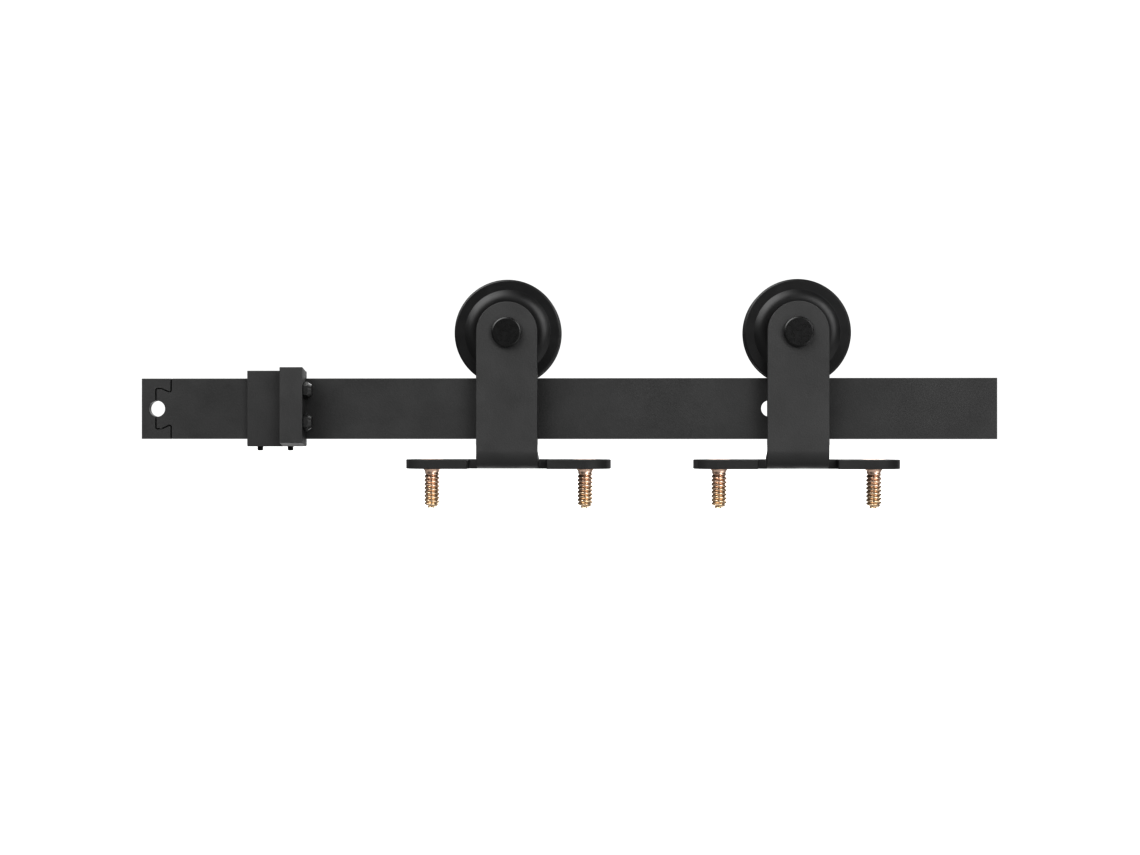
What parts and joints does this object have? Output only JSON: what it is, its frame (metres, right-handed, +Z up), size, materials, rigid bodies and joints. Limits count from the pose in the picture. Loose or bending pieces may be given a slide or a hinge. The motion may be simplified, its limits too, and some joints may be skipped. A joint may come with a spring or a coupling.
{
  "type": "sliding barn door hardware",
  "caption": "Flat-bar sliding door track with a dovetail joint, an adjustable end stop, and grooved-roller hangers whose T plates screw to the top edge of a door.",
  "frame": {"origin": "middle of the rail's back face, the face towards the wall", "axes": "+X along the rail to the right as seen from the room, +Y out of the rail's back face towards the wall, +Z up"},
  "size_m": [0.565, 0.0461, 0.1504],
  "materials": {
    "powder_coat": "matte black powder coat",
    "wheel_nylon": "satin black moulded nylon",
    "black_oxide": "black oxide steel",
    "bearing_steel": "ground bearing steel",
    "yellow_zinc": "yellow zinc plating, copper coloured at the top"
  },
  "bodies": {
    "track": {"rail": "powder_coat", "rail_extension": "powder_coat"},
    "stop": {"stop_body": "powder_coat", "stop_bar": "powder_coat", "stop_upper_bumper_bolt": "black_oxide", "stop_lower_bumper_bolt": "black_oxide", "stop_left_grub_screw": "black_oxide", "stop_right_grub_screw": "black_oxide"},
    "left_hanger": {"left_hanger_bracket": "powder_coat", "left_axle_bolt": "black_oxide", "left_front_spacer": "black_oxide", "left_rear_spacer": "black_oxide", "left_axle_washer": "black_oxide", "left_lock_nut": "black_oxide", "left_bearing_inner_race": "bearing_steel", "left_plate_screw_outer": "yellow_zinc", "left_plate_screw_inner": "yellow_zinc"},
    "left_roller": {"left_wheel": "wheel_nylon", "left_bearing_outer_race": "bearing_steel"},
    "left_ball_cage": {"left_bearing_ball_cage": "bearing_steel"},
    "right_hanger": {"right_hanger_bracket": "powder_coat", "right_axle_bolt": "black_oxide", "right_front_spacer": "black_oxide", "right_rear_spacer": "black_oxide", "right_axle_washer": "black_oxide", "right_lock_nut": "black_oxide", "right_bearing_inner_race": "bearing_steel", "right_plate_screw_outer": "yellow_zinc", "right_plate_screw_inner": "yellow_zinc"},
    "right_roller": {"right_wheel": "wheel_nylon", "right_bearing_outer_race": "bearing_steel"},
    "right_ball_cage": {"right_bearing_ball_cage": "bearing_steel"}
  },
  "joints": [
    {"name": "left_hanger_slide", "type": "slide", "parent": "track", "child": "left_hanger", "axis": [1, 0, 0], "range_m": [-0.107, 0.095]},
    {"name": "right_hanger_slide", "type": "slide", "parent": "track", "child": "right_hanger", "axis": [1, 0, 0], "range_m": [-0.107, 0.095]},
    {"name": "left_wheel_spin", "type": "hinge", "parent": "left_hanger", "child": "left_roller", "pos_m": [-0.0383, -0.003, 0.0498], "axis": [0, 1, 0], "continuous": true},
    {"name": "left_ball_cage_spin", "type": "hinge", "parent": "left_hanger", "child": "left_ball_cage", "pos_m": [-0.0383, -0.003, 0.0498], "axis": [0, 1, 0], "continuous": true},
    {"name": "right_wheel_spin", "type": "hinge", "parent": "right_hanger", "child": "right_roller", "pos_m": [0.1517, -0.003, 0.0498], "axis": [0, 1, 0], "continuous": true},
    {"name": "right_ball_cage_spin", "type": "hinge", "parent": "right_hanger", "child": "right_ball_cage", "pos_m": [0.1517, -0.003, 0.0498], "axis": [0, 1, 0], "continuous": true},
    {"name": "stop_slide", "type": "slide", "parent": "track", "child": "stop", "axis": [1, 0, 0], "range_m": [-0.045, 0]}
  ],
  "couplings": [
    {"joint": "right_hanger_slide", "follows": "left_hanger_slide", "ratio": 1},
    {"joint": "left_wheel_spin", "follows": "left_hanger_slide", "rad_per_m": 33.898},
    {"joint": "left_ball_cage_spin", "follows": "left_hanger_slide", "rad_per_m": 20.86},
    {"joint": "right_wheel_spin", "follows": "left_hanger_slide", "rad_per_m": 33.898},
    {"joint": "right_ball_cage_spin", "follows": "left_hanger_slide", "rad_per_m": 20.86}
  ]
}
